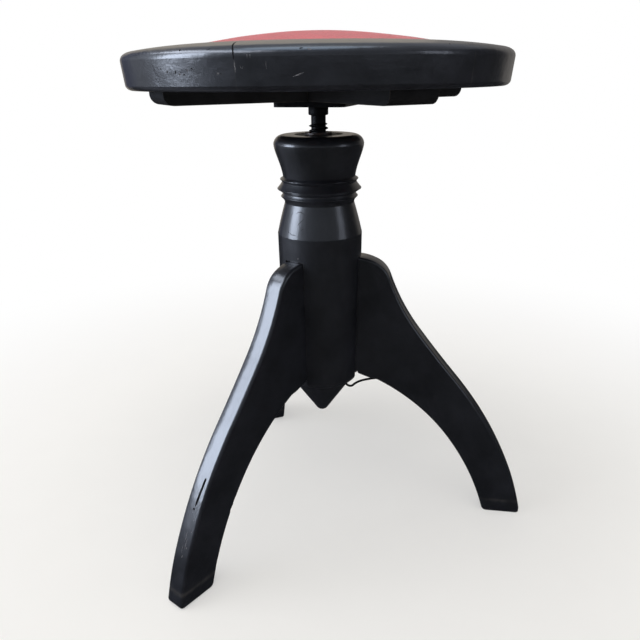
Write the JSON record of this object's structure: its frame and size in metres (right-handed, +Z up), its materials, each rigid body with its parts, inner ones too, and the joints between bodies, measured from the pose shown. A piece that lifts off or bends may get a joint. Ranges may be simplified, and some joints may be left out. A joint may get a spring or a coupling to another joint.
{
  "type": "revolving piano stool",
  "caption": "Round screw-adjustable stool: domed red leather pad in a black jointed wooden ring on an iron spindle, turned column and splayed S-curved legs.",
  "frame": {"origin": "on the floor, on the column's axis, in the middle of the circle of the feet", "axes": "+Z up along the column and spindle, +X along the first leg"},
  "size_m": [0.4099, 0.407, 0.5142],
  "materials": {
    "ring_wood": "ebonised and polished",
    "column_wood": "ebonised and polished",
    "leg_wood": "ebonised and polished",
    "batten_wood": "black painted",
    "board_wood": "planed, unfinished",
    "dowel_wood": "planed, unfinished",
    "stuffing": "hair and wadding",
    "red_leather": "smooth, lightly polished",
    "washer_leather": "greased",
    "black_iron": "blackened, semi-gloss",
    "nut_iron": "blackened",
    "blued_steel": "blued",
    "steel": "dull, darkened"
  },
  "bodies": {
    "base": {"column": "column_wood", "spindle_nut": "nut_iron", "nut_screws": "steel", "leg_1": "leg_wood", "leg_2": "leg_wood", "leg_3": "leg_wood", "leg_dowels": "dowel_wood", "wire_stay": "steel"},
    "washer": {"thrust_washer": "washer_leather"},
    "seat": {"ring_segment_1": "ring_wood", "ring_segment_2": "ring_wood", "ring_segment_3": "ring_wood", "ring_segment_4": "ring_wood", "ring_segment_5": "ring_wood", "ring_segment_6": "ring_wood", "ring_dowels": "dowel_wood", "seat_board": "board_wood", "seat_stuffing": "stuffing", "seat_leather": "red_leather", "cover_tacks": "blued_steel", "long_batten": "batten_wood", "cross_batten": "batten_wood", "batten_screws": "steel", "spindle_plate": "black_iron", "plate_screws": "steel", "spindle": "black_iron", "stop_pin": "steel"}
  },
  "joints": [
    {"name": "seat_turn", "type": "hinge", "parent": "base", "child": "washer", "pos_m": [0, 0, 0.4225], "axis": [0, 0, 1], "range_deg": [-1260, 8640]},
    {"name": "seat_lift", "type": "slide", "parent": "washer", "child": "seat", "axis": [0, 0, 1], "range_m": [-0.01576, 0.10801]}
  ],
  "couplings": [
    {"joint": "seat_lift", "follows": "seat_turn", "m_per_rad": 0.0007162}
  ]
}
